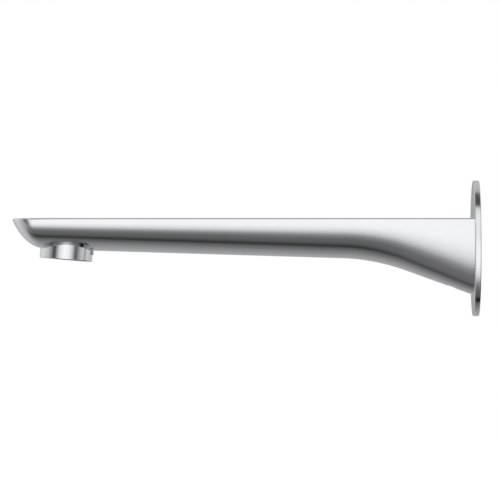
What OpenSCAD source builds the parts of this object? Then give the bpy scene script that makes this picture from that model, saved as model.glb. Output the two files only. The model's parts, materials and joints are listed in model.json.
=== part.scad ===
// Wall mounted bath spout: hollow cast body held on a threaded inlet adapter,
// round wall rosette, and a hidden screw-in aerator in the nozzle.
// Millimetres. Y = 0 is the finished wall, the spout projects along -Y, +Z is
// up and X runs across. The origin is on the axis of the inlet thread.

/* [Spout body] */
// Distance from the wall to the tip
projection = 223.4; // [150:0.2:300]
// Full width of arm and base
body_w = 42; // [34:0.5:60]
// Height of the flat top above the inlet axis
top_z = 14.45; // [13.5:0.05:20]
// Depth of the arm, carried on to the tip
arm_h = 14.41; // [13:0.01:15.5]
// Depth gained per mm on the way to the wall
arm_taper = 0.0303; // [0:0.0001:0.1]
// Depth of the base where it meets the rosette
base_h = 36.7; // [28:0.1:45]
// Distance from the wall where the underside starts to bend down
flare_start = 65.3; // [40:0.1:100]
// Length of that bend
flare_bend = 30.6; // [10:0.1:50]
// Height of the rounding of the long top edges
edge_r = 0.8; // [0.3:0.1:2]
// Width of that rounding
edge_w = 1.4; // [0.3:0.1:3]
// Fullness of the rounded underside, 2 is an ellipse
belly = 1.8; // [1.5:0.05:3]
// Casting wall thickness
wall = 3; // [2:0.1:5]

/* [Nose] */
// Depth of the blunt front edge
tip_h = 1.14; // [1:0.01:2]
// Depth that the curved front face gains on its way back
nose_rise = 15.2; // [14:0.1:17]
// How far back it takes most of that depth
nose_len = 6.9; // [5:0.1:8]
// Softness of the edge between front face and belly
nose_blend = 1.6; // [0.4:0.1:3]
// Radius of the front edge seen from above
front_r = 60; // [50:1:120]
// Radius of the two front corners seen from above
corner_r = 9.5; // [6:0.5:11]
// How far the top rolls down at the very front
tip_drop = 0.3; // [0:0.05:0.5]

/* [Nozzle] */
// Distance from the wall to the middle of the outlet
nozzle_reach = 198; // [120:0.5:260]
// Height of the outlet rim's middle above the inlet axis
nozzle_z = -5.5; // [-9:0.1:-3]
// Outside diameter of the nozzle boss
nozzle_d = 25.2; // [24.6:0.1:30]
// Forward lean of the jet in degrees
nozzle_tilt = 5; // [0:0.5:15]
// How far the collar at the boss's root stands out at the sides
collar_out = 0.85; // [0.6:0.05:1.5]
// How far the collar runs down the boss
collar_drop = 1.15; // [0.6:0.05:1.6]
// Nominal diameter of the aerator thread
aerator_d = 21.4; // [20:0.1:22]

/* [Rosette] */
// Rosette diameter
rosette_d = 65; // [55:0.5:90]
// Rosette thickness
rosette_t = 3; // [2.5:0.1:8]
// Rounding of the rosette's rim
rosette_edge = 0.5; // [0.2:0.1:1]

/* [Inlet adapter] */
// Inside diameter of the half inch female pipe thread
thread_d = 18.64; // [18:0.01:20]
// Length of that thread
thread_l = 14; // [8:0.5:16]
// Outside diameter of the adapter's hub
hub_d = 23.8; // [23:0.1:24.2]
// Length of the hub
hub_l = 17; // [15.5:0.5:20]
// Diameter of the spigot that carries the O-rings
spigot_d = 19; // [17:0.1:21]
// Length of the spigot in front of the hub
spigot_l = 12; // [9:0.5:14]
// Water passage through the spigot
passage_d = 11; // [8:0.5:12]
// Distance from the wall to the set screw
screw_p = 13; // [10:0.5:16]

/* [Hidden] */
$fn = 96;
half_w = body_w / 2;
nozzle_r = nozzle_d / 2;
rim_r = rosette_d / 2;
thread_r = thread_d / 2;
spigot_r = spigot_d / 2;
hub_r = hub_d / 2;
tail_p = hub_l + spigot_l;
washer_t = 1.5;
groove_r = spigot_r - 1.8;
rosette_bore_r = 12.8;
screw_r = 2;
gasket_r0 = 22.5;
gasket_r1 = 30.2;
gasket_t = 1.2;
aer_r = aerator_d / 2;
aer_bore_r = aer_r + 0.05;
seat_a = 10.3;
throat_r = 8.7;
cart_r = 8.6;
nose_end = 19.5;
fade_start = 12;
fade_end = 80;
front_gain = 2.2;
collar_x = nozzle_r + collar_out;
collar_y = nozzle_r + 0.4;
straight_h = arm_h + arm_taper * (projection - rosette_t);
flare_m = (base_h - straight_h) / (flare_start - rosette_t - flare_bend / 2);
corner_x = (half_w - corner_r) * front_r / (front_r - corner_r);
corner_y = front_r - sqrt(pow(front_r - corner_r, 2) - pow(half_w - corner_r, 2));

chrome = [0.78, 0.79, 0.81];
brass = [0.80, 0.64, 0.34];
steel = [0.62, 0.63, 0.65];
rubber = [0.12, 0.12, 0.13];
fibre = [0.55, 0.20, 0.16];
white = [0.88, 0.89, 0.90];
grey = [0.50, 0.54, 0.60];

// ---- shape of the body ----------------------------------------------------
// s is the distance behind the tip, p the distance from the wall.
function unit(v) = min(1, max(0, v));
function ease(v) = let (t = unit(v)) t * t * (3 - 2 * t);
function flare(p) = let (q = flare_start - p)
  q <= 0 ? 0 : q < flare_bend ? flare_m * q * q / (2 * flare_bend)
                              : flare_m * (q - flare_bend / 2);
// depth of the arm's underside below the top, on the centre line
function keel(s) = arm_h + arm_taper * s + flare(projection - s);
// depth of the curved front face
function nose(s) = tip_h + nose_rise * (1 - exp(-s / nose_len)) + arm_taper * s
  + flare(projection - s);
// how far the top has rolled down near the tip
function roll(s) = tip_drop * pow(1 - unit(s / 7), 2)
  + (s < 0.6 ? 0.6 - sqrt(0.36 - pow(0.6 - s, 2)) : 0);
// how far the front edge curves back at x
function front(x) = abs(x) <= corner_x ? front_r - sqrt(front_r * front_r - x * x)
  : corner_y - sqrt(max(0, corner_r * corner_r - pow(abs(x) - half_w + corner_r, 2)));
// the curve grows behind the edge, then dies away along the arm
function bow(s) = (1 + front_gain * ease(s / 12))
  * (1 - ease((s - fade_start) / (fade_end - fade_start)));
// depth at which the belly starts, below the rounded top edge
function shoulder(s) = let (f = roll(s))
  min(f + edge_r, f + 0.6 * (min(keel(s), nose(s)) - f));
// height of the belly at x, 1 at the keel and 0 at the side, eased at the keel
function bulge(x, n) = let (k = 0.02, k0 = pow(k, n / 2))
  pow(max(0, 1 - (pow(x * x + k, n / 2) - k0) / (pow(1 + k, n / 2) - k0)), 1 / n);

// depth of the underside at x: the arm's rounded belly, cut by the front face
// with a soft edge between the two
function below(x, s) = let (
    zs = shoulder(s),
    a = (keel(s + bow(s) * front(x)) - zs) * bulge(min(1, abs(x) / half_w), belly),
    b = nose(s) - zs, k = min(nose_blend, b), h = max(k - abs(a - b), 0))
  zs + min(a, b) - h * h / (4 * k);

// Top chain of a section as [x, z below the top], left to right.
// w half width, f top, zs bottom of the rounded edge, r its width.
function top_chain(w, f, zs, r) = concat(
  [for (a = [90, 60, 30]) [-(w - r + r * sin(a)), f + (zs - f) * (1 - cos(a))]],
  [for (i = [-9:9]) [(w - r) * sin(10 * i), f]],
  [for (a = [30, 60, 90]) [w - r + r * sin(a), f + (zs - f) * (1 - cos(a))]]);
// whole section with a plain belly of depth d and fullness n
function section(w, f, zs, d, r, n) = concat(top_chain(w, f, zs, r),
  [for (i = [11:-1:-11]) let (x = sin(7.5 * i))
    [w * x, zs + (d - zs) * bulge(x, n)]]);
NP = 48;

function skin_ring(s) = [for (q = concat(top_chain(half_w, roll(s), shoulder(s), edge_w),
    [for (i = [11:-1:-11]) let (x = half_w * sin(7.5 * i)) [x, below(x, s)]]))
  [q[0], s - projection + bow(s) * front(q[0]), top_z - q[1]]];
function core_ring(s) = [for (q = section(half_w - wall, wall, wall + 2.5, keel(s) - wall, 2.5, belly + 0.3))
  [q[0], s - projection, top_z - q[1]]];

skin_s = concat(
  [for (i = [0:17]) nose_end * pow(i / 17, 2)],
  [for (i = [1:8]) nose_end + (fade_end - nose_end) * i / 8],
  [for (i = [1:2]) fade_end + (projection - flare_start - fade_end) * i / 2],
  [for (i = [1:8]) projection - flare_start + flare_bend * i / 8],
  [projection - 18, projection - rosette_t]);
core_s = concat(
  [15, 22],
  [projection - flare_start],
  [for (i = [1:5]) projection - flare_start + flare_bend * i / 5]);

// closed skin through rings of NP points, first ring nearest the tip
module loft(rings) {
  n = len(rings);
  polyhedron(
    points = [for (r = rings) each r],
    faces = concat(
      [for (i = [0:n - 2], j = [0:NP - 1]) let (k = (j + 1) % NP)
        each [[i * NP + j, (i + 1) * NP + j, (i + 1) * NP + k],
              [i * NP + j, (i + 1) * NP + k, i * NP + k]]],
      [for (e = [0, 1], j = [0:NP / 2 - 1])
        let (o = e * (n - 1) * NP, a = o + j, b = o + j + 1,
             c = o + NP - j - 1, d = o + (NP - j) % NP)
        each (e == 0 ? [[a, b, c], [a, c, d]] : [[a, c, b], [a, d, c]])
      ]),
    convexity = 6);
}

// ---- underside height, used by the collar round the nozzle -----------------
function ring_of(x, p, s, k) = k == 0 ? s
  : ring_of(x, p, projection - p - bow(s) * front(x), k - 1);
function under_z(x, p) = top_z - below(x, ring_of(x, p, projection - p, 8));
// height along the nozzle axis where the line (r, t) meets the underside
function meet(r, t, a, k) = k == 0 ? a : let (
    y = -nozzle_reach + r * sin(t) * cos(nozzle_tilt) + a * sin(nozzle_tilt),
    z = under_z(r * cos(t), -y))
  meet(r, t, (z - nozzle_z + r * sin(t) * sin(nozzle_tilt)) / cos(nozzle_tilt), k - 1);

// squarish outline of the collar on the underside
function collar_r(t) = pow(pow(abs(cos(t)) / collar_x, 3) + pow(abs(sin(t)) / collar_y, 3), -1 / 3);
// section through the collar: it slopes from its outline down to the boss
NT = 60;
NQ = 5;
function collar_profile(t) = let (
    r = collar_r(t), m = meet(r, t, 4, 8), top = meet(nozzle_r, t, 4, 8),
    e = top - collar_drop * (1 - 0.7 * pow(sin(t), 2)), k = (m - e) / (r - nozzle_r))
  [[nozzle_r - 0.6, top + 1.5], [r + 0.05, m + 1.2], [r + 0.05, m + 0.05 * k],
   [nozzle_r - 0.12, e - 0.12 * k], [nozzle_r - 0.6, e - 0.12 * k - 0.2]];
module collar() {
  rings = [for (i = [0:NT - 1]) let (t = 360 * i / NT)
    [for (q = collar_profile(t)) [q[0] * cos(t), q[0] * sin(t), q[1]]]];
  polyhedron(
    points = [for (r = rings) each r],
    faces = [for (i = [0:NT - 1], j = [0:NQ - 1])
      let (k = (i + 1) % NT, m = (j + 1) % NQ)
      each [[i * NQ + j, k * NQ + m, k * NQ + j], [i * NQ + j, i * NQ + m, k * NQ + m]]],
    convexity = 6);
}

// ---- placing ---------------------------------------------------------------
module inlet() { rotate([90, 0, 0]) children(); }
module nozzle() { translate([0, -nozzle_reach, nozzle_z]) rotate([-nozzle_tilt, 0, 0]) children(); }
module tube(r0, r1, z0, z1) {
  difference() {
    translate([0, 0, z0]) cylinder(r = r1, h = z1 - z0);
    translate([0, 0, z0 - 1]) cylinder(r = r0, h = z1 - z0 + 2);
  }
}
module rod(r, z0, z1) { translate([0, 0, z0]) cylinder(r = r, h = z1 - z0); }
module torus(major, minor, z) {
  translate([0, 0, z]) rotate_extrude() translate([major, 0]) circle(r = minor, $fn = 32);
}
// disc of radius r and height h with its lower rim chamfered by e
module chamfered_rod(r, h, e) {
  translate([0, 0, e]) cylinder(r = r, h = h - e);
  cylinder(r1 = r - e, r2 = r, h = e);
}
// outline of the base, pulled in by q all round
module base_outline(q) {
  polygon([for (c = section(half_w - q, q, q + edge_r, base_h - q, edge_w, belly)) [c[0], top_z - c[1]]]);
}

// ---- spout body ------------------------------------------------------------
module spout_body() {
  color(chrome) difference() {
    union() {
      loft([for (s = skin_s) skin_ring(s)]);
      nozzle() chamfered_rod(nozzle_r, 9, 0.45);
      nozzle() collar();
      // raised land with drafted sides at the back of the boss
      nozzle() translate([0, nozzle_r, 3.4]) linear_extrude(2.6)
        polygon([[-4.9, -1.4], [4.9, -1.4], [4.24, 0.35], [-4.24, 0.35]]);
    }
    // cored waterway, which leaves a raised seat round the nozzle
    difference() {
      loft([for (s = core_s) core_ring(s)]);
      nozzle() rod(nozzle_r, -1, seat_a + 1.8);
    }
    nozzle() rod(aer_bore_r, -1, seat_a);
    nozzle() rod(throat_r, 0, 15.5);
    // stepped socket for the adapter, and the throat into the waterway
    inlet() rod(hub_r + 0.05, 0, hub_l + 0.3);
    inlet() rod(spigot_r + 0.05, 5, tail_p + 1);
    inlet() rod(7.5, 10, 40);
    // threaded hole for the set screw
    translate([0, -screw_p, -30]) cylinder(r = screw_r + 0.05, h = 22);
    // groove for the seal in the base face
    inlet() translate([0, 0, rosette_t - 1]) linear_extrude(1.85) difference() {
      base_outline(0.95);
      base_outline(1.85);
    }
  }
}

// ---- rosette ---------------------------------------------------------------
module rosette() {
  e = rosette_edge;
  t = rosette_t;
  color(chrome) inlet() difference() {
    rotate_extrude() union() {
      square([rim_r - e, t]);
      translate([0, e]) square([rim_r, t - 2 * e]);
      translate([rim_r - e, e]) circle(r = e, $fn = 32);
      translate([rim_r - e, t - e]) circle(r = e, $fn = 32);
    }
    rod(rosette_bore_r, -1, t + 1);
    tube(gasket_r0 - 0.1, gasket_r1 + 0.1, -1, gasket_t);
    rod(13.5, 1.15, 2.8);
  }
}
module rosette_gasket() {
  color(rubber) inlet() tube(gasket_r0, gasket_r1, 0, gasket_t);
}
module rosette_grip_ring() {
  color(rubber) inlet() torus(12.7, 0.78, 1.97);
}
module base_seal() {
  color(rubber) inlet() translate([0, 0, rosette_t]) linear_extrude(0.8) difference() {
    base_outline(1);
    base_outline(1.8);
  }
}

// ---- inlet adapter ---------------------------------------------------------
module inlet_adapter() {
  color(brass) inlet() difference() {
    union() {
      rod(hub_r, 0, hub_l);
      rod(spigot_r, hub_l, tail_p - 1);
      translate([0, 0, tail_p - 1]) cylinder(r1 = spigot_r, r2 = spigot_r - 0.8, h = 1);
    }
    // pipe thread, and the seat of the washer at its end
    rod(thread_r, -1, thread_l);
    rod(9.9, thread_l, thread_l + washer_t);
    rod(passage_d / 2, thread_l, tail_p + 1);
    // socket for the hexagon key
    translate([0, 0, tail_p - 9]) cylinder(r = passage_d / sqrt(3), h = 10, $fn = 6);
    // groove for the set screw's point, and two for the O-rings
    tube(hub_r - 0.8, hub_r + 1, screw_p - 2.5, screw_p + 2.5);
    tube(groove_r, spigot_r + 1, tail_p - 4.6, tail_p - 2.4);
    tube(groove_r, spigot_r + 1, tail_p - 8.8, tail_p - 6.6);
  }
}
module inlet_washer() {
  color(fibre) inlet() tube(passage_d / 2 + 0.4, 9.8, thread_l, thread_l + washer_t);
}
module adapter_o_ring_front() {
  color(rubber) inlet() torus(spigot_r - 0.88, 0.9, tail_p - 3.5);
}
module adapter_o_ring_rear() {
  color(rubber) inlet() torus(spigot_r - 0.88, 0.9, tail_p - 7.7);
}
module grub_screw() {
  color(steel) translate([0, -screw_p, 0]) difference() {
    union() {
      rod(screw_r, -17.3, -11.95);
      translate([0, 0, -11.95]) cylinder(r1 = screw_r, r2 = screw_r - 0.8, h = 0.8);
    }
    translate([0, 0, -18.3]) cylinder(r = 1 / cos(30), h = 3.5, $fn = 6);
  }
}

// ---- aerator, measured up from the nozzle rim -------------------------------
module aerator_seal() {
  color(rubber) nozzle() tube(8.25, 10.6, 8.75, seat_a - 0.02);
}
module aerator_shell() {
  color(steel) nozzle() difference() {
    union() {
      tube(9.6, aer_r, 0.6, 7.6);
      tube(9, 9.8, 0.6, 1.5);
    }
    // notches for the key
    for (a = [0:60:300]) rotate(a) translate([8, -0.9, 0]) cube([1.9, 1.8, 1.2]);
  }
}
module jet_housing() {
  color(white) nozzle() difference() {
    union() {
      tube(cart_r + 0.02, 9.55, 1.55, 8.7);
      tube(cart_r + 0.02, 10.5, 7.65, 8.7);
      tube(8.2, 9, 1.55, 1.95);
    }
    // slots that draw air in between shell and housing
    for (a = [0:45:315]) rotate(a + 22.5) translate([8.7, -1.1, 4.7]) cube([1.2, 2.2, 1.4]);
    for (a = [0:45:315]) rotate(a + 22.5) translate([9.2, -0.7, 1]) cube([1, 1.4, 3.7]);
  }
}
module strainer_dome() {
  color(grey) nozzle() difference() {
    rotate_extrude() polygon([[8.15, 8.1], [8.15, 8.9], [6.4, 11.3], [0, 11.7], [0, 11.2],
      [6.1, 10.8], [7.5, 8.8], [7.5, 8.1]]);
    for (a = [0:20:340]) rotate(a) translate([6.9, -0.35, 8.9]) cube([2, 0.7, 1.7]);
    for (r = [2, 4.2], a = [0:36:324]) rotate(a) translate([r, 0, 10]) cylinder(r = 0.45, h = 3, $fn = 24);
  }
}
module jet_plate() {
  color(grey) nozzle() difference() {
    rod(cart_r, 7, 8);
    for (i = [0:2], a = [0:30:330]) rotate(a + 15 * i) translate([3.4 + 2 * i, 0, 6])
      cylinder(r = 0.42, h = 3, $fn = 24);
  }
}
module mixing_ring() {
  color(white) nozzle() {
    difference() {
      tube(7.6, cart_r, 4.65, 6.95);
      for (a = [0:45:315]) rotate(a + 22.5) translate([7, -1.1, 4.6]) cube([2, 2.2, 1.5]);
    }
    difference() {
      union() {
        translate([0, 0, 5.2]) cylinder(r1 = 5.2, r2 = 3.6, h = 1.2);
        for (a = [0:90:270]) rotate(a + 45) translate([3, -0.5, 5.2]) cube([4.9, 1, 0.9]);
      }
      rod(2.4, 5, 7);
    }
  }
}
// woven screen: wires of width w at pitch q inside a rim
module screen(q, w, turn) {
  linear_extrude(0.4) union() {
    difference() {
      circle(r = cart_r);
      circle(r = cart_r - 0.7);
    }
    intersection() {
      circle(r = cart_r - 0.3);
      rotate(turn) union() {
        for (i = [-6:6]) translate([i * q - w / 2, -cart_r]) square([w, 2 * cart_r]);
        for (i = [-6:6]) translate([-cart_r, i * q - w / 2]) square([2 * cart_r, w]);
      }
    }
  }
}
module screen_upper() { color(steel) nozzle() translate([0, 0, 4.2]) screen(1.2, 0.4, 0); }
module screen_spacer() { color(white) nozzle() tube(7.4, cart_r, 3.6, 4.2); }
module screen_lower() { color(steel) nozzle() translate([0, 0, 3.2]) screen(1.2, 0.4, 45); }
// honeycomb that straightens the jet
module outlet_grid() {
  color(grey) nozzle() translate([0, 0, 2]) linear_extrude(1.2) difference() {
    circle(r = cart_r);
    for (i = [-4:4], j = [-4:4]) {
      x = 1.75 * (i + j / 2);
      y = 1.75 * j * sqrt(3) / 2;
      if (x * x + y * y < 48) translate([x, y]) rotate(30) circle(r = 0.82, $fn = 6);
    }
  }
}

spout_body();
rosette();
rosette_gasket();
rosette_grip_ring();
base_seal();
inlet_adapter();
inlet_washer();
adapter_o_ring_front();
adapter_o_ring_rear();
grub_screw();
aerator_seal();
aerator_shell();
jet_housing();
strainer_dome();
jet_plate();
mixing_ring();
screen_upper();
screen_spacer();
screen_lower();
outlet_grid();
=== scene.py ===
import json
import math

import bmesh
import bpy
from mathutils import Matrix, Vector


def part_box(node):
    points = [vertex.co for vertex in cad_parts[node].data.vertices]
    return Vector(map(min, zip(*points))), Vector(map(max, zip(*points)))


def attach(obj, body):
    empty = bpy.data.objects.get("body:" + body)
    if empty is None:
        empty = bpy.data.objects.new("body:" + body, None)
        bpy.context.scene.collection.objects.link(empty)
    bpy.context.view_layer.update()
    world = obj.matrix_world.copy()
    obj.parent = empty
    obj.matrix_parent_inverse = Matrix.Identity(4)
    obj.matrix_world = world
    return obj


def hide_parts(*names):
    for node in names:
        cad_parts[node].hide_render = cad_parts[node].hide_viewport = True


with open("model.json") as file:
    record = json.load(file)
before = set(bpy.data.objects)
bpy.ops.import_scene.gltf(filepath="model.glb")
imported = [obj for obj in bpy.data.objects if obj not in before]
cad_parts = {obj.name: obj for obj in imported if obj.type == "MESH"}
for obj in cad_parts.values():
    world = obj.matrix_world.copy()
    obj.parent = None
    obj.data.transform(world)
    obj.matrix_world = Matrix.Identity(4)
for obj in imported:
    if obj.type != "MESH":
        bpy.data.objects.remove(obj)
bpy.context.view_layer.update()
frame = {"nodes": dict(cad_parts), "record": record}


MM = 0.001

# ---------------------------------------------------------------- dimensions, in millimetres, as in the CAD
PROJECTION, BODY_W, ARM_H, TAPER, BASE_H = 223.4, 42.0, 14.41, 0.0303, 36.7
FLARE_START, FLARE_BEND, EDGE_R, EDGE_W, BELLY = 65.3, 30.6, 0.8, 1.4, 1.8
TIP_H, NOSE_RISE, NOSE_LEN, NOSE_BLEND = 1.144, 15.21, 6.92, 1.6
FRONT_R, CORNER_R, FRONT_GAIN, TIP_DROP = 60.0, 9.5, 2.2, 0.3
REACH, RIM_Z, BOSS_R, TILT = 198.0, -5.5, 12.6, math.radians(5)
PAD_X, PAD_Y, PAD_POW, PAD_DROP = 13.45, 13.0, 3.0, 1.15
BORE_R, SEAT, THROAT_R = 10.75, 10.3, 8.7
ROSETTE_R, ROSETTE_T, ROSETTE_EDGE = 32.5, 3.0, 0.5
SCREW_P, SCREW_R = 13.0, 2.05
THREAD_R, THREAD_L, HUB_R, HUB_L, SPIGOT_R, SPIGOT_L, PASSAGE_R = 9.32, 14.0, 11.9, 17.0, 9.5, 12.0, 5.5
HALF = BODY_W / 2
FADE = (12.0, 80.0)

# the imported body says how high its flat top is, and checks the numbers above
body_low, body_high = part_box("spout_body")
TOP_Z = round(body_high.z / MM, 3)
if abs(-body_low.y / MM - PROJECTION) > 0.3 or abs(body_high.x / MM - HALF) > 0.3:
    raise RuntimeError("scene.py's dimensions don't match the packed body")

# ---------------------------------------------------------------- the body's surface
STRAIGHT_H = ARM_H + TAPER * (PROJECTION - ROSETTE_T)
FLARE_M = (BASE_H - STRAIGHT_H) / (FLARE_START - ROSETTE_T - FLARE_BEND / 2)
CORNER_X = (HALF - CORNER_R) * FRONT_R / (FRONT_R - CORNER_R)
CORNER_Y = FRONT_R - math.sqrt((FRONT_R - CORNER_R) ** 2 - (HALF - CORNER_R) ** 2)


def unit(v):
    return min(1.0, max(0.0, v))


def flare(p):
    q = FLARE_START - p
    if q <= 0:
        return 0.0
    return FLARE_M * q * q / (2 * FLARE_BEND) if q < FLARE_BEND else FLARE_M * (q - FLARE_BEND / 2)


def keel(s):
    """Depth of the arm's underside below the top, on the centre line."""
    return ARM_H + TAPER * s + flare(PROJECTION - s)


def nose(s):
    """Depth of the curved front face, s behind the front edge."""
    return TIP_H + NOSE_RISE * (1 - math.exp(-s / NOSE_LEN)) + TAPER * s + flare(PROJECTION - s)


def roll(s):
    edge = 0.6 - math.sqrt(0.36 - (0.6 - s) ** 2) if s < 0.6 else 0.0
    return TIP_DROP * (1 - unit(s / 7)) ** 2 + edge


def front(x):
    x = abs(x)
    if x <= CORNER_X:
        return FRONT_R - math.sqrt(FRONT_R ** 2 - x * x)
    return CORNER_Y - math.sqrt(max(0.0, CORNER_R ** 2 - (x - HALF + CORNER_R) ** 2))


def bow(s):
    t, g = unit((s - FADE[0]) / (FADE[1] - FADE[0])), unit(s / 12)
    return (1 + FRONT_GAIN * g * g * (3 - 2 * g)) * (1 - t * t * (3 - 2 * t))


def bulge(x, n=BELLY):
    k = 0.02
    k0 = k ** (n / 2)
    return max(0.0, 1 - ((x * x + k) ** (n / 2) - k0) / ((1 + k) ** (n / 2) - k0)) ** (1 / n)


def shoulder(s):
    f = roll(s)
    return min(f + EDGE_R, f + 0.6 * (min(keel(s), nose(s)) - f))


def below(x, s):
    """Depth of the underside at x: the arm's rounded belly, cut by the nose with a soft edge between them."""
    zs = shoulder(s)
    a, b = (keel(s + bow(s) * front(x)) - zs) * bulge(min(1.0, abs(x) / HALF)), nose(s) - zs
    k = min(NOSE_BLEND, b)
    h = max(k - abs(a - b), 0.0)
    return zs + min(a, b) - h * h / (4 * k)


M, TOPS, CORNERS = 36, 60, 6            # belly half count, top segments, segments in each long top edge
RING = 4 * M                            # points in a ring


def section(s):
    """x and depth of one ring: top chain left to right, then the belly right to left."""
    f, zs, w, r = roll(s), shoulder(s), HALF, EDGE_W
    pts = []
    for i in range(CORNERS, 0, -1):
        a = math.radians(90 * i / CORNERS)
        pts.append((-(w - r + r * math.sin(a)), f + (zs - f) * (1 - math.cos(a))))
    for i in range(-TOPS // 2, TOPS // 2 + 1):
        pts.append(((w - r) * math.sin(math.radians(90 * i / (TOPS / 2))), f))
    for i in range(1, CORNERS + 1):
        a = math.radians(90 * i / CORNERS)
        pts.append((w - r + r * math.sin(a), f + (zs - f) * (1 - math.cos(a))))
    for i in range(M - 1, -M, -1):
        x = w * math.sin(math.radians(90 * i / M))
        pts.append((x, below(x, s)))
    return pts


def ring(s):
    return [(x, s - PROJECTION + bow(s) * front(x), TOP_Z - z) for x, z in section(s)]


def under_z(x, p):
    s0 = PROJECTION - p
    s = s0
    for _ in range(12):
        s = s0 - bow(s) * front(x)
    return TOP_Z - below(x, s)


def nozzle(r, t, a):
    """A point at radius r, angle t and height a on the nozzle's axis, in the row frame."""
    c, s = math.cos(TILT), math.sin(TILT)
    v = r * math.sin(t)
    return (r * math.cos(t), -REACH + v * c + a * s, RIM_Z - v * s + a * c)


def meet(r, t):
    """Height on the nozzle's axis where the line (r, t) reaches the underside."""
    c, s = math.cos(TILT), math.sin(TILT)
    a = 4.0
    for _ in range(12):
        y = -REACH + r * math.sin(t) * c + a * s
        a = (under_z(r * math.cos(t), -y) - RIM_Z + r * math.sin(t) * s) / c
    return a


# ---------------------------------------------------------------- mesh helpers
def new_object(name, bm, sharp=32.0):
    bmesh.ops.remove_doubles(bm, verts=bm.verts, dist=1e-7)
    bmesh.ops.recalc_face_normals(bm, faces=bm.faces)
    limit = math.radians(sharp)
    for f in bm.faces:
        f.smooth = True
    for e in bm.edges:
        e.smooth = not (len(e.link_faces) == 2 and e.calc_face_angle(0.0) > limit)
    mesh = bpy.data.meshes.new(name)
    bm.to_mesh(mesh)
    bm.free()
    obj = bpy.data.objects.new(name, mesh)
    bpy.context.scene.collection.objects.link(obj)
    return obj


def add_loop(bm, points):
    return [bm.verts.new((x * MM, y * MM, z * MM)) for x, y, z in points]


def bridge(bm, a, b):
    """Quads between two closed loops of the same count."""
    n = len(a)
    for i in range(n):
        j = (i + 1) % n
        quad = [a[i], a[j], b[j], b[i]]
        if len(set(quad)) == 4:
            bm.faces.new(quad)


def close_fan(bm, loop):
    centre = bm.verts.new(sum((v.co for v in loop), Vector()) / len(loop))
    for i in range(len(loop)):
        bm.faces.new([loop[i], loop[(i + 1) % len(loop)], centre])


def lathe(bm, profile, place, count=192):
    """A closed profile of (radius, height) points turned round an axis. place maps (r, angle, height) to the row frame."""
    loops = [add_loop(bm, [place(r, 2 * math.pi * i / count, h) for i in range(count)]) for r, h in profile]
    for k in range(len(loops)):
        bridge(bm, loops[k], loops[(k + 1) % len(loops)])


def inlet(r, t, h):
    """Points round the inlet's axis: h is the distance from the wall towards the room."""
    return (r * math.cos(t), -h, r * math.sin(t))


def arc(cx, cy, r, a0, a1, n):
    return [(cx + r * math.cos(math.radians(a0 + (a1 - a0) * i / n)),
             cy + r * math.sin(math.radians(a0 + (a1 - a0) * i / n))) for i in range(n + 1)]


# ---------------------------------------------------------------- spout body
def spread(a, b, n):
    return [a + (b - a) * i / n for i in range(1, n + 1)]


rows = [19.5 * (i / 48) ** 2.0 for i in range(49)]
rows += spread(rows[-1], 50.0, 24)
rows += spread(rows[-1], PROJECTION - FLARE_START, 22)
rows += spread(PROJECTION - FLARE_START, PROJECTION - FLARE_START + FLARE_BEND, 24)
rows += spread(rows[-1], PROJECTION - 18.5, 7)
rows += spread(rows[-1], PROJECTION - 7.5, 10)
rows += spread(rows[-1], PROJECTION - ROSETTE_T, 2)


def belly_index(i):
    """Ring index of belly column i, from -M (left side) to M (right side)."""
    return (2 * M + (M - i)) % RING if i != -M else 0


def nearest_row(s):
    return min(range(len(rows)), key=lambda i: abs(rows[i] - s))


bm = bmesh.new()
grid = [add_loop(bm, ring(s)) for s in rows]
patches = []                            # (first row, last row, columns each side)
boss_patch = (nearest_row(6.4), nearest_row(44.5), 21)
screw_patch = (nearest_row(PROJECTION - 18.5), nearest_row(PROJECTION - 7.5), 9)
for i in range(len(rows) - 1):
    for j in range(RING):
        k = (j + 1) % RING
        inside = False
        for r0, r1, cols in (boss_patch, screw_patch):
            lo, hi = belly_index(cols), belly_index(-cols)
            if r0 <= i < r1 and lo <= j < hi:
                inside = True
        if not inside:
            bm.faces.new([grid[i][j], grid[i + 1][j], grid[i + 1][k], grid[i][k]])


def patch_loop(patch):
    """The ring of grid vertices round a patch, in order, and removes the ones inside."""
    r0, r1, cols = patch
    lo, hi = belly_index(cols), belly_index(-cols)
    loop = [grid[r0][j] for j in range(lo, hi)]
    loop += [grid[i][hi] for i in range(r0, r1)]
    loop += [grid[r1][j] for j in range(hi, lo, -1)]
    loop += [grid[i][lo] for i in range(r1, r0, -1)]
    for i in range(r0 + 1, r1):
        for j in range(lo + 1, hi):
            bm.verts.remove(grid[i][j])
    return loop


def ease_between(bm, loop, circle, steps):
    """Loops on the underside from the patch's edge in to a circle of (x, y) points."""
    last = loop
    for k in range(1, steps + 1):
        f = k / steps
        pts = []
        for v, (cx, cy) in zip(loop, circle):
            x, y = v.co.x / MM * (1 - f) + cx * f, v.co.y / MM * (1 - f) + cy * f
            pts.append((x, y, under_z(x, -y)))
        this = add_loop(bm, pts)
        bridge(bm, last, this)
        last = this
    return last


# the nozzle boss grows out of the belly through a squarish sloping collar
loop = patch_loop(boss_patch)
centre_y = nozzle(0, 0, meet(0, 0))[1]
angles = [math.atan2(v.co.y / MM - centre_y, v.co.x / MM) for v in loop]


def collar(t, grow=0.0):
    return grow + ((abs(math.cos(t)) / PAD_X) ** PAD_POW + (abs(math.sin(t)) / PAD_Y) ** PAD_POW) ** (-1 / PAD_POW)


circle = [nozzle(collar(t, 0.25), t, meet(collar(t, 0.25), t))[:2] for t in angles]
last = ease_between(bm, loop, circle, 9)


wall_top = {t: meet(BOSS_R, t) - PAD_DROP * (1 - 0.7 * math.sin(t) ** 2) for t in angles}


def boss_loop(radius, height):
    return add_loop(bm, [nozzle(radius(t), t, height(t)) for t in angles])


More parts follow.
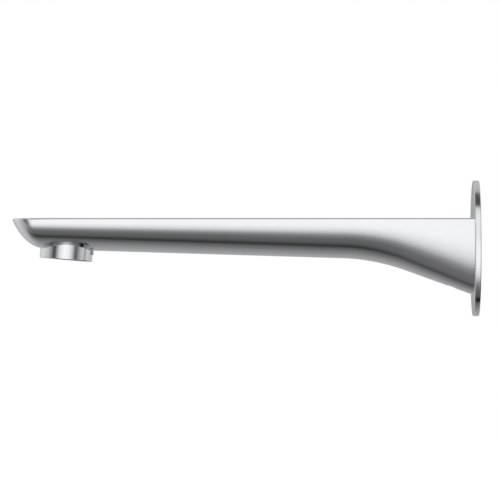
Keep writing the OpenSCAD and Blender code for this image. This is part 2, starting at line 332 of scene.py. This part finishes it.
def slope(f):
    """A loop on the collar, f from 0 at the belly to 1 at the wall of the boss, slightly hollow."""
    hollow = 0.05 * 4 * f * (1 - f)

    def radius(t):
        return collar(t) * (1 - f) + BOSS_R * f - hollow * (collar(t) - BOSS_R) / 1.4

    def height(t):
        return meet(collar(t), t) * (1 - f) + wall_top[t] * f
    return boss_loop(radius, height)


for f in (0.0, 0.03, 0.12, 0.25, 0.4, 0.55, 0.7, 0.85, 0.95, 1.0):
    this = slope(f)
    bridge(bm, last, this)
    last = this
for d in (0.05, 0.2):
    this = boss_loop(lambda t: BOSS_R, lambda t, d=d: wall_top[t] - d)
    bridge(bm, last, this)
    last = this
for f in (0.3, 0.6, 0.95):
    this = boss_loop(lambda t: BOSS_R, lambda t, f=f: (wall_top[t] - 0.2) * (1 - f) + 0.5 * f)
    bridge(bm, last, this)
    last = this
for r, a in [(BOSS_R, 0.47), (BOSS_R - 0.02, 0.42), (BOSS_R - 0.42, 0.03), (BOSS_R - 0.48, 0.0), (BORE_R + 0.9, 0), (BORE_R + 0.25, 0)] \
        + arc(BORE_R + 0.25, 0.25, 0.25, -90, -180, 5) + [(BORE_R, 2), (BORE_R, SEAT), (THROAT_R + 0.2, SEAT), (THROAT_R, SEAT + 0.2), (THROAT_R, 14.5)]:
    this = boss_loop(lambda t, r=r: r, lambda t, a=a: a)
    bridge(bm, last, this)
    last = this
close_fan(bm, last)

# hole of the set screw
loop = patch_loop(screw_patch)
circle = []
for v in loop:
    t = math.atan2(v.co.y / MM + SCREW_P, v.co.x / MM)
    circle.append(((SCREW_R + 0.25) * math.cos(t), -SCREW_P + (SCREW_R + 0.25) * math.sin(t)))
last = ease_between(bm, loop, circle, 6)
for g, drop in ((0.16, 0.02), (0.07, 0.08), (0.02, 0.16), (0, 0.26)):
    pts = []
    for x, y in circle:
        k = (SCREW_R + g) / (SCREW_R + 0.25)
        x, y = x * k, -SCREW_P + (y + SCREW_P) * k
        pts.append((x, y, under_z(x, -y) + drop))
    this = add_loop(bm, pts)
    bridge(bm, last, this)
    last = this
for z in (-16.0, -10.9):
    this = add_loop(bm, [(v.co.x / MM, v.co.y / MM, z) for v in last])
    bridge(bm, last, this)
    last = this
close_fan(bm, last)

# blunt front edge, between the top chain and the belly chain of the first ring
tip = grid[0]
for j in range(2 * M):
    a, b = tip[j], tip[j + 1]
    lo_a, lo_b = tip[(RING - j) % RING], tip[RING - j - 1]
    quad = []
    for v in (a, b, lo_b, lo_a):
        if v not in quad:
            quad.append(v)
    bm.faces.new(quad)

# base face, and the stepped socket that takes the adapter
last = grid[-1]
turn = [math.atan2(v.co.z, v.co.x) for v in last]
TAIL = HUB_L + SPIGOT_L
for r, p in ((HUB_R + 0.35, ROSETTE_T), (HUB_R + 0.05, ROSETTE_T + 0.3), (HUB_R + 0.05, HUB_L + 0.3), (SPIGOT_R + 0.05, HUB_L + 0.3),
             (SPIGOT_R + 0.05, TAIL + 1), (7.5, TAIL + 1), (7.5, 38)):
    this = add_loop(bm, [inlet(r, t, p) for t in turn])
    bridge(bm, last, this)
    last = this
close_fan(bm, last)
spout = new_object("spout_shell", bm, 38.0)

# raised land at the back of the boss, with its edges broken
bm = bmesh.new()
W0, H0, H1, OUT, ROOT, E, DRAFT = 4.9, 3.4, 6.0, BOSS_R + 0.35, BOSS_R - 1.4, 0.18, 0.38


def land(x, v, a):
    c, s = math.cos(TILT), math.sin(TILT)
    return (x, -REACH + v * c + a * s, RIM_Z - v * s + a * c)


loops = []
for v, inset in ((ROOT, 0.0), (OUT - E, 0.0), (OUT - E * 0.3, E * 0.3), (OUT, E)):
    pts, w = [], W0 - DRAFT * (v - ROOT)
    for cx, cy, a0 in ((w - 0.4, H1 - 0.4, 0), (-w + 0.4, H1 - 0.4, 90), (-w + 0.4, H0 + 0.4, 180), (w - 0.4, H0 + 0.4, 270)):
        for px, py in arc(cx, cy, 0.4 - inset, a0, a0 + 90, 5):
            pts.append(land(px, v, py))
    loops.append(add_loop(bm, pts))
for a, b in zip(loops, loops[1:]):
    bridge(bm, a, b)
close_fan(bm, loops[0])
close_fan(bm, loops[-1])
boss_land = new_object("boss_land", bm, 50.0)

# ---------------------------------------------------------------- rosette
bm = bmesh.new()
e, R, T = ROSETTE_EDGE, ROSETTE_R, ROSETTE_T
profile = [(12.8, 0.0), (14.0, 0.0), (18.0, 0.0), (22.4, 0.0), (22.4, 1.2), (26.0, 1.2), (30.3, 1.2), (30.3, 0.0), (31.0, 0.0)]
profile += arc(R - e, e, e, -90, 0, 8) + [(R, T / 2)] + arc(R - e, T - e, e, 0, 90, 8)
profile += [(31.2, T), (29.0, T), (26.0, T), (22.0, T), (18.0, T), (15.0, T), (12.8, T), (12.8, 2.8), (13.5, 2.8), (13.5, 1.15), (12.8, 1.15)]
lathe(bm, profile, inlet, 256)
rosette = new_object("rosette_plate", bm, 40.0)

# ---------------------------------------------------------------- inlet adapter with its pipe thread
bm = bmesh.new()
COUNT, PITCH, DEPTH = 96, 1.814, 1.16


def thread_radius(t, h):
    """Rounded vee thread cut outwards from the minor radius, run out at both ends."""
    phase = (h / PITCH - t / (2 * math.pi)) % 1.0
    v = unit((abs(2 * phase - 1) - 0.1) / 0.8)
    run = unit((h - 0.2) / 0.9) * unit((THREAD_L - 0.5 - h) / 1.4)
    return THREAD_R + DEPTH * v * v * (3 - 2 * v) * run + max(0.0, 1.3 - h)


def hexagon(i):
    a = (2 * math.pi * i / COUNT) % (math.pi / 3) - math.pi / 6
    return PASSAGE_R / math.cos(a)


def turned(r, h):
    return [inlet(r, 2 * math.pi * i / COUNT, h) for i in range(COUNT)]


stack = []
steps = 132
for k in range(steps + 1):
    h = THREAD_L * k / steps
    stack.append([inlet(min(HUB_R - 0.9, thread_radius(2 * math.pi * i / COUNT, h)), 2 * math.pi * i / COUNT, h) for i in range(COUNT)])
for r, h in ((9.9, THREAD_L), (9.9, THREAD_L + 1.5), (PASSAGE_R, THREAD_L + 1.5), (PASSAGE_R, TAIL - 9)):
    stack.append(turned(r, h))
for h in (TAIL - 9, TAIL):
    stack.append([inlet(hexagon(i), 2 * math.pi * i / COUNT, h) for i in range(COUNT)])
for r, h in ((SPIGOT_R - 0.8, TAIL), (SPIGOT_R, TAIL - 1), (SPIGOT_R, TAIL - 2.4), (7.7, TAIL - 2.4), (7.7, TAIL - 4.6), (SPIGOT_R, TAIL - 4.6),
             (SPIGOT_R, TAIL - 6.6), (7.7, TAIL - 6.6), (7.7, TAIL - 8.8), (SPIGOT_R, TAIL - 8.8), (SPIGOT_R, HUB_L), (HUB_R - 0.3, HUB_L),
             (HUB_R, HUB_L - 0.3), (HUB_R, SCREW_P + 2.5), (HUB_R - 0.8, SCREW_P + 2.5), (HUB_R - 0.8, SCREW_P - 2.5), (HUB_R, SCREW_P - 2.5),
             (HUB_R, 0.3), (HUB_R - 0.3, 0.0)):
    stack.append(turned(r, h))
loops = [add_loop(bm, p) for p in stack]
for k in range(len(loops)):
    bridge(bm, loops[k], loops[(k + 1) % len(loops)])
adapter = new_object("adapter_threaded", bm, 40.0)


# ---------------------------------------------------------------- materials
def material(name):
    mat = bpy.data.materials.new(name)
    mat.use_nodes = True
    nodes, links = mat.node_tree.nodes, mat.node_tree.links
    nodes.clear()
    out = nodes.new("ShaderNodeOutputMaterial")
    bsdf = nodes.new("ShaderNodeBsdfPrincipled")
    links.new(bsdf.outputs["BSDF"], out.inputs["Surface"])
    return mat, nodes, links, bsdf


def coords(nodes):
    return nodes.new("ShaderNodeTexCoord").outputs["Object"]


def noise(nodes, links, vector, scale, detail=4.0, rough=0.5, stretch=None):
    if stretch:
        m = nodes.new("ShaderNodeMapping")
        m.inputs["Scale"].default_value = stretch
        links.new(vector, m.inputs["Vector"])
        vector = m.outputs["Vector"]
    n = nodes.new("ShaderNodeTexNoise")
    n.inputs["Scale"].default_value = scale
    n.inputs["Detail"].default_value = detail
    n.inputs["Roughness"].default_value = rough
    links.new(vector, n.inputs["Vector"])
    return n.outputs["Fac"]


def ramp(nodes, links, value, lo, hi, out_lo, out_hi):
    r = nodes.new("ShaderNodeMapRange")
    r.inputs["From Min"].default_value = lo
    r.inputs["From Max"].default_value = hi
    r.inputs["To Min"].default_value = out_lo
    r.inputs["To Max"].default_value = out_hi
    links.new(value, r.inputs["Value"])
    return r.outputs["Result"]


def mix_color(nodes, links, fac, a, b):
    m = nodes.new("ShaderNodeMix")
    m.data_type = "RGBA"
    links.new(fac, m.inputs[0])
    for socket, value in ((m.inputs[6], a), (m.inputs[7], b)):
        if isinstance(value, tuple):
            socket.default_value = (*value, 1.0)
        else:
            links.new(value, socket)
    return m.outputs[2]


def bump(nodes, links, bsdf, height, strength, distance):
    b = nodes.new("ShaderNodeBump")
    b.inputs["Strength"].default_value = strength
    b.inputs["Distance"].default_value = distance
    links.new(height, b.inputs["Height"])
    links.new(b.outputs["Normal"], bsdf.inputs["Normal"])


def chrome(name, tint, low, high, wave):
    """Polished chrome plate: mirror bright, with the faint haze and ripple left by buffing and plating."""
    mat, nodes, links, bsdf = material(name)
    bsdf.inputs["Metallic"].default_value = 1.0
    pos = coords(nodes)
    haze = noise(nodes, links, pos, 55.0, 3.0, 0.55)
    links.new(ramp(nodes, links, haze, 0.3, 0.7, low, high), bsdf.inputs["Roughness"])
    lo = tuple(t * 0.975 for t in tint)
    cloud = noise(nodes, links, pos, 20.0, 2.0, 0.5)
    links.new(mix_color(nodes, links, ramp(nodes, links, cloud, 0.3, 0.7, 0.0, 1.0), lo, tint), bsdf.inputs["Base Color"])
    buff = noise(nodes, links, pos, 900.0, 2.0, 0.5, (1.0, 0.12, 1.0))
    bump(nodes, links, bsdf, buff, wave, 0.00001)
    return mat


CHROME = chrome("polished_chrome", (0.800, 0.803, 0.812), 0.055, 0.085, 0.05)
SHELL = chrome("aerator_chrome", (0.70, 0.705, 0.715), 0.16, 0.26, 0.2)


def brass():
    mat, nodes, links, bsdf = material("turned_brass")
    bsdf.inputs["Metallic"].default_value = 1.0
    pos = coords(nodes)
    tarnish = noise(nodes, links, pos, 140.0, 5.0, 0.6)
    links.new(mix_color(nodes, links, ramp(nodes, links, tarnish, 0.35, 0.7, 0.0, 1.0), (0.84, 0.62, 0.27), (0.62, 0.42, 0.17)), bsdf.inputs["Base Color"])
    turned = noise(nodes, links, pos, 700.0, 2.0, 0.5, (0.15, 4.0, 0.15))
    links.new(ramp(nodes, links, turned, 0.3, 0.7, 0.2, 0.38), bsdf.inputs["Roughness"])
    bump(nodes, links, bsdf, turned, 0.3, 0.00003)
    return mat


def steel():
    mat, nodes, links, bsdf = material("stainless_steel")
    bsdf.inputs["Metallic"].default_value = 1.0
    pos = coords(nodes)
    grain = noise(nodes, links, pos, 1500.0, 3.0, 0.6)
    links.new(mix_color(nodes, links, grain, (0.50, 0.505, 0.515), (0.62, 0.625, 0.635)), bsdf.inputs["Base Color"])
    links.new(ramp(nodes, links, grain, 0.3, 0.7, 0.24, 0.4), bsdf.inputs["Roughness"])
    bump(nodes, links, bsdf, grain, 0.15, 0.00002)
    return mat


def soft_stuff(name, dark, light, rough, scale, height, distance):
    mat, nodes, links, bsdf = material(name)
    pos = coords(nodes)
    grain = noise(nodes, links, pos, scale, 5.0, 0.6)
    dust = noise(nodes, links, pos, scale * 0.12, 3.0, 0.55)
    both = nodes.new("ShaderNodeMath")
    both.operation = "MULTIPLY"
    links.new(grain, both.inputs[0])
    links.new(dust, both.inputs[1])
    links.new(mix_color(nodes, links, ramp(nodes, links, both.outputs[0], 0.12, 0.4, 0.0, 1.0), dark, light), bsdf.inputs["Base Color"])
    links.new(ramp(nodes, links, grain, 0.3, 0.7, rough - 0.08, rough + 0.08), bsdf.inputs["Roughness"])
    bump(nodes, links, bsdf, grain, height, distance)
    return mat


BRASS = brass()
STEEL = steel()
RUBBER = soft_stuff("black_rubber", (0.012, 0.012, 0.013), (0.030, 0.030, 0.032), 0.62, 1400.0, 0.35, 0.00004)
FIBRE = soft_stuff("red_fibre", (0.23, 0.045, 0.030), (0.40, 0.10, 0.07), 0.72, 2200.0, 0.5, 0.00005)
WHITE = soft_stuff("white_moulding", (0.72, 0.725, 0.73), (0.80, 0.80, 0.80), 0.38, 900.0, 0.12, 0.00002)
GREY = soft_stuff("grey_moulding", (0.27, 0.29, 0.32), (0.37, 0.395, 0.43), 0.42, 900.0, 0.15, 0.00002)

BY_SLOT = {"chrome": CHROME, "shell_chrome": SHELL, "brass": BRASS, "steel": STEEL, "rubber": RUBBER,
           "fibre": FIBRE, "white_plastic": WHITE, "grey_plastic": GREY}
for part in frame["record"]["subparts"]:
    node = frame["nodes"][part["node"]]
    mat = BY_SLOT[part["material_slot"]]
    if node.data.materials:
        for k in range(len(node.data.materials)):
            node.material_slots[k].material = mat
    else:
        node.data.materials.append(mat)

for obj, mat, slot, body, stands_for in (
        (spout, CHROME, "chrome", "spout", "spout_body"), (boss_land, CHROME, "chrome", "spout", None),
        (rosette, CHROME, "chrome", "spout", "rosette"), (adapter, BRASS, "brass", "spout", "inlet_adapter")):
    obj.data.materials.append(mat)
    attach(obj, body)
    if stands_for:
        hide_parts(stands_for)

# ---------------------------------------------------------------- studio
scene = bpy.context.scene
scene.view_settings.view_transform = "Standard"
scene.view_settings.look = "None"
scene.view_settings.exposure = 0.0
scene.view_settings.gamma = 1.0

# What a mirror would show of the studio, as (angle from the camera side, brightness) up, down, towards the tip and towards the wall:
# a large bright diffuser in front, dark gaps between it and the panels at the sides, and softer panels behind.
UP = ((0, 242), (6, 241), (13, 237), (20, 232), (30, 230), (40, 231), (56, 230), (60, 228), (63, 225), (67, 219), (72, 203), (76, 150),
      (80, 90), (85, 77), (89, 76), (94, 79), (99, 86), (105, 98), (110, 143), (116, 170), (123, 177), (131, 179), (140, 181), (151, 179), (165, 172), (180, 150))
DOWN = ((0, 242), (14, 245), (20, 244), (28, 242), (32, 239), (36, 234), (40, 228), (44, 220), (48, 209), (52, 193), (56, 173), (60, 149),
        (64, 130), (68, 117), (72, 105), (76, 98), (80, 95), (84, 91), (88, 84), (92, 71), (95, 59), (98, 53), (101, 66), (104, 86),
        (108, 97), (114, 111), (120, 125), (128, 138), (136, 147), (148, 156), (165, 165), (180, 150))
TIP = ((0, 246), (6, 246), (10, 244), (15, 240), (19, 232), (24, 225), (28, 211), (33, 194), (37, 172), (42, 142), (46, 101), (51, 67),
       (56, 74), (61, 106), (66, 131), (71, 152), (77, 166), (82, 180), (88, 187), (95, 194), (101, 201), (108, 205), (116, 209),
       (125, 211), (135, 208), (148, 201), (160, 188), (172, 158), (180, 144))
WALL = ((0, 246), (3, 245), (7, 242), (11, 236), (16, 230), (20, 217), (24, 202), (29, 182), (33, 154), (38, 113), (43, 86), (47, 98),
        (52, 124), (57, 143), (62, 162), (67, 175), (72, 185), (78, 192), (84, 185), (90, 181), (96, 193), (103, 202), (110, 196),
        (118, 189), (160, 180), (172, 158), (180, 144))


def linear(v):
    v /= 255.0
    return v / 12.92 if v <= 0.04045 else ((v + 0.055) / 1.055) ** 2.4


world = bpy.data.worlds.new("studio")
scene.world = world
world.use_nodes = True
wn, wl = world.node_tree.nodes, world.node_tree.links
wn.clear()


def wmath(op, a, b=None):
    n = wn.new("ShaderNodeMath")
    n.operation = op
    for k, v in enumerate((a, b)):
        if v is None:
            continue
        if isinstance(v, (int, float)):
            n.inputs[k].default_value = v
        else:
            wl.new(v, n.inputs[k])
    return n.outputs[0]


split = wn.new("ShaderNodeSeparateXYZ")
wl.new(wn.new("ShaderNodeTexCoord").outputs["Generated"], split.inputs[0])
dx, dy, dz = split.outputs
angle = wmath("DIVIDE", wmath("ARCCOSINE", wmath("MINIMUM", wmath("MAXIMUM", dx, -1.0), 1.0)), math.pi)


def panel(table):
    n = wn.new("ShaderNodeValToRGB")
    ramp_ = n.color_ramp
    ramp_.interpolation = "LINEAR"
    while len(ramp_.elements) > 1:
        ramp_.elements.remove(ramp_.elements[-1])
    for k, (deg, grey) in enumerate(table):
        el = ramp_.elements[0] if k == 0 else ramp_.elements.new(deg / 180.0)
        el.position = deg / 180.0
        v = linear(grey) / 0.80
        el.color = (v, v, v * 1.012, 1.0)
    wl.new(angle, n.inputs["Fac"])
    return n.outputs["Color"]


def wmix(fac, a, b):
    m = wn.new("ShaderNodeMix")
    m.data_type = "RGBA"
    wl.new(fac, m.inputs[0])
    wl.new(a, m.inputs[6])
    wl.new(b, m.inputs[7])
    return m.outputs[2]


yy, zz = wmath("MULTIPLY", dy, dy), wmath("MULTIPLY", dz, dz)
upright = wmath("DIVIDE", zz, wmath("ADD", wmath("ADD", yy, zz), 1e-6))
vertical = wmix(wmath("GREATER_THAN", dz, 0.0), panel(DOWN), panel(UP))
level = wmix(wmath("GREATER_THAN", dy, 0.0), panel(TIP), panel(WALL))
open_studio = wmix(upright, level, vertical)

# a dark gap low down on the wall side, and the dark line it carries on below


def smooth(value, lo, hi):
    n = wn.new("ShaderNodeMapRange")
    n.interpolation_type = "SMOOTHSTEP"
    n.inputs["From Min"].default_value = lo
    n.inputs["From Max"].default_value = hi
    wl.new(value, n.inputs["Value"])
    return n.outputs["Result"]


aim = wn.new("ShaderNodeVectorMath")
aim.operation = "DOT_PRODUCT"
wl.new(split.inputs[0].links[0].from_socket, aim.inputs[0])
aim.inputs[1].default_value = (-0.15, 0.79, -0.594)
gap = smooth(aim.outputs["Value"], math.cos(math.radians(31)), math.cos(math.radians(15)))
line = smooth(wmath("ABSOLUTE", wmath("SUBTRACT", angle, 99.5 / 180)), 8.0 / 180, 2.5 / 180)
line = wmath("MULTIPLY", line, wmath("MULTIPLY", smooth(dy, 0.005, 0.04), smooth(dz, 0.0, -0.5)))
dark = wn.new("ShaderNodeRGB")
dark.outputs[0].default_value = (0.012, 0.012, 0.012, 1.0)
studio = wmix(wmath("MAXIMUM", gap, line), open_studio, dark.outputs[0])

path = wn.new("ShaderNodeLightPath")


def backdrop(strength, color=None):
    b = wn.new("ShaderNodeBackground")
    b.inputs["Strength"].default_value = strength
    if color is None:
        b.inputs["Color"].default_value = (1, 1, 1, 1)
    else:
        wl.new(color, b.inputs["Color"])
    return b.outputs["Background"]


def shader_mix(fac, a, b):
    m = wn.new("ShaderNodeMixShader")
    wl.new(fac, m.inputs[0])
    wl.new(a, m.inputs[1])
    wl.new(b, m.inputs[2])
    return m.outputs["Shader"]


lit = shader_mix(path.outputs["Is Glossy Ray"], backdrop(1.0), backdrop(1.0, studio))
shown = shader_mix(path.outputs["Is Camera Ray"], lit, backdrop(1.0))
wout = wn.new("ShaderNodeOutputWorld")
wl.new(shown, wout.inputs["Surface"])

# plain pale floor, well below the wall mounted object
bm = bmesh.new()
for x, y in ((-6, -6), (6, -6), (6, 6), (-6, 6)):
    bm.verts.new((x, y, -0.30))
bm.faces.new(list(bm.verts))
floor = new_object("floor", bm)
fmat, fn_, fl, fb = material("floor_paper")
fb.inputs["Base Color"].default_value = (0.93, 0.93, 0.93, 1)
fb.inputs["Roughness"].default_value = 0.95
fb.inputs["Specular IOR Level"].default_value = 0.0
fb.inputs["Emission Color"].default_value = (1, 1, 1, 1)
fb.inputs["Emission Strength"].default_value = 0.12
floor.data.materials.append(fmat)
floor.visible_glossy = False

light = bpy.data.lights.new("overhead", "AREA")
light.shape = "RECTANGLE"
light.size, light.size_y, light.energy = 2.0, 1.4, 4.0
lamp = bpy.data.objects.new("overhead", light)
lamp.location = (0.9, -0.5, 1.6)
lamp.rotation_euler = (0.25, 0.5, 0.0)
lamp.visible_glossy = False
scene.collection.objects.link(lamp)

cam = bpy.data.cameras.new("camera")
cam.type = "PERSP"
cam.sensor_width = 36.0
cam.lens = 406.6
cam.clip_start, cam.clip_end = 0.1, 60.0
camera = bpy.data.objects.new("camera", cam)
camera.location = (2.706, -0.1097, -0.00079)
camera.rotation_euler = (math.radians(90), 0, math.radians(90))
scene.collection.objects.link(camera)
scene.camera = camera
